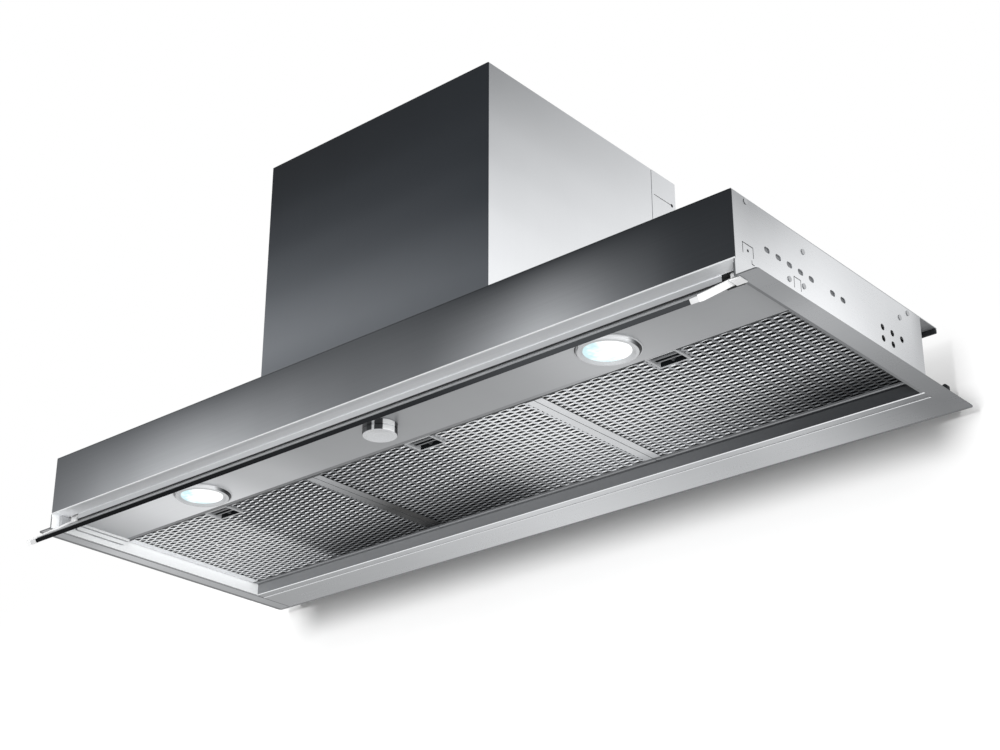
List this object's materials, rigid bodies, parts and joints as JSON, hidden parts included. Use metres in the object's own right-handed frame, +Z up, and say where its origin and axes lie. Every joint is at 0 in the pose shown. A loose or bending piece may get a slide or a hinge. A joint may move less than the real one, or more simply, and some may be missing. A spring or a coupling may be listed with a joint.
{
  "type": "built-in range hood",
  "caption": "Under-cabinet built-in range hood with a wide trim flange, box-shaped motor housing, mesh filters, round lamps, a control knob and a tilting dark visor.",
  "frame": {"origin": "middle of the body's front face, in the plane of the trim flange's upper, seating face", "axes": "+X along the hood's width to the right seen from the front, +Y towards the wall, +Z up towards the duct"},
  "size_m": [0.899, 0.3807, 0.4095],
  "materials": {
    "brushed_sheet": "brushed",
    "painted_sheet": "satin grey",
    "zinc_sheet": "galvanised",
    "mesh_metal": "bright expanded mesh",
    "filter_metal": "satin",
    "black_rubber": "matt",
    "smoked_glass": "polished black",
    "grey_plastic": "satin",
    "white_plastic": "satin",
    "black_plastic": "satin",
    "bright_metal": "polished",
    "lamp_lens": "frosted",
    "lamp_boards": "glowing",
    "motor_metal": "satin"
  },
  "bodies": {
    "hood": {"trim_flange": "brushed_sheet", "side_panel_left": "brushed_sheet", "side_panel_right": "brushed_sheet", "top_plate": "zinc_sheet", "back_panel": "zinc_sheet", "fascia_panel": "brushed_sheet", "front_rail": "brushed_sheet", "lamp_panel": "painted_sheet", "side_filler_left": "brushed_sheet", "side_filler_right": "brushed_sheet", "rear_seal_strip": "black_rubber", "rear_spacers": "black_rubber", "panel_rivets": "bright_metal", "chimney_cover": "zinc_sheet", "chimney_rear_cover": "zinc_sheet", "chimney_top_plate": "zinc_sheet", "cable_gland": "grey_plastic", "outlet_collar": "zinc_sheet", "damper_pins": "bright_metal", "scroll_housing": "white_plastic", "scroll_side_plate": "white_plastic", "motor": "motor_metal", "motor_bracket": "zinc_sheet", "capacitor": "white_plastic", "electronics_box": "white_plastic", "lamp_ring_left": "grey_plastic", "lamp_ring_right": "grey_plastic", "lamp_lens_left": "lamp_lens", "lamp_lens_right": "lamp_lens", "lamp_housing_left": "zinc_sheet", "lamp_housing_right": "zinc_sheet", "lamp_leds": "lamp_boards", "knob_base_ring": "grey_plastic", "rotary_switch": "black_plastic", "visor_hinges": "bright_metal"},
    "visor": {"visor_pane": "smoked_glass", "visor_arm_left": "white_plastic", "visor_arm_right": "white_plastic", "visor_end_caps": "grey_plastic"},
    "knob": {"knob_cap": "grey_plastic", "knob_spindle": "bright_metal"},
    "fan": {"impeller": "white_plastic", "motor_shaft": "bright_metal"},
    "damper_left": {"damper_flap_left": "white_plastic"},
    "damper_right": {"damper_flap_right": "white_plastic"},
    "filter_left": {"filter_frame_left": "filter_metal", "filter_mesh_left": "mesh_metal", "latch_housing_left": "grey_plastic", "latch_spring_left": "bright_metal"},
    "latch_left": {"latch_slider_left": "black_plastic"},
    "filter_centre": {"filter_frame_centre": "filter_metal", "filter_mesh_centre": "mesh_metal", "latch_housing_centre": "grey_plastic", "latch_spring_centre": "bright_metal"},
    "latch_centre": {"latch_slider_centre": "black_plastic"},
    "filter_right": {"filter_frame_right": "filter_metal", "filter_mesh_right": "mesh_metal", "latch_housing_right": "grey_plastic", "latch_spring_right": "bright_metal"},
    "latch_right": {"latch_slider_right": "black_plastic"}
  },
  "joints": [
    {"name": "visor_tilt", "type": "hinge", "parent": "hood", "child": "visor", "pos_m": [0, 0.0227, 0.0115], "axis": [-1, 0, 0], "range_deg": [0, 35]},
    {"name": "knob_turn", "type": "hinge", "parent": "hood", "child": "knob", "pos_m": [0, 0.049, 0], "axis": [0, 0, 1], "range_deg": [0, 270]},
    {"name": "filter_left_drop", "type": "hinge", "parent": "hood", "child": "filter_left", "pos_m": [-0.285, 0.2904, 0.0111], "axis": [1, 0, 0], "range_deg": [0, 60]},
    {"name": "latch_left_pull", "type": "slide", "parent": "filter_left", "child": "latch_left", "axis": [0, 1, 0], "range_m": [0, 0.004], "stiffness_N_per_m": 200, "springref_m": -0.004, "deforming": ["latch_spring_left"]},
    {"name": "filter_centre_drop", "type": "hinge", "parent": "hood", "child": "filter_centre", "pos_m": [0, 0.2904, 0.0111], "axis": [1, 0, 0], "range_deg": [0, 60]},
    {"name": "latch_centre_pull", "type": "slide", "parent": "filter_centre", "child": "latch_centre", "axis": [0, 1, 0], "range_m": [0, 0.004], "stiffness_N_per_m": 200, "springref_m": -0.004, "deforming": ["latch_spring_centre"]},
    {"name": "filter_right_drop", "type": "hinge", "parent": "hood", "child": "filter_right", "pos_m": [0.285, 0.2904, 0.0111], "axis": [1, 0, 0], "range_deg": [0, 60]},
    {"name": "latch_right_pull", "type": "slide", "parent": "filter_right", "child": "latch_right", "axis": [0, 1, 0], "range_m": [0, 0.004], "stiffness_N_per_m": 200, "springref_m": -0.004, "deforming": ["latch_spring_right"]},
    {"name": "fan_spin", "type": "hinge", "parent": "hood", "child": "fan", "pos_m": [0, 0.13495, 0.19], "axis": [1, 0, 0], "continuous": true},
    {"name": "damper_left_open", "type": "hinge", "parent": "hood", "child": "damper_left", "pos_m": [-0.005, 0.18, 0.34825], "axis": [0, 1, 0], "range_deg": [0, 80]},
    {"name": "damper_right_open", "type": "hinge", "parent": "hood", "child": "damper_right", "pos_m": [0.005, 0.18, 0.34825], "axis": [0, -1, 0], "range_deg": [0, 80]}
  ]
}
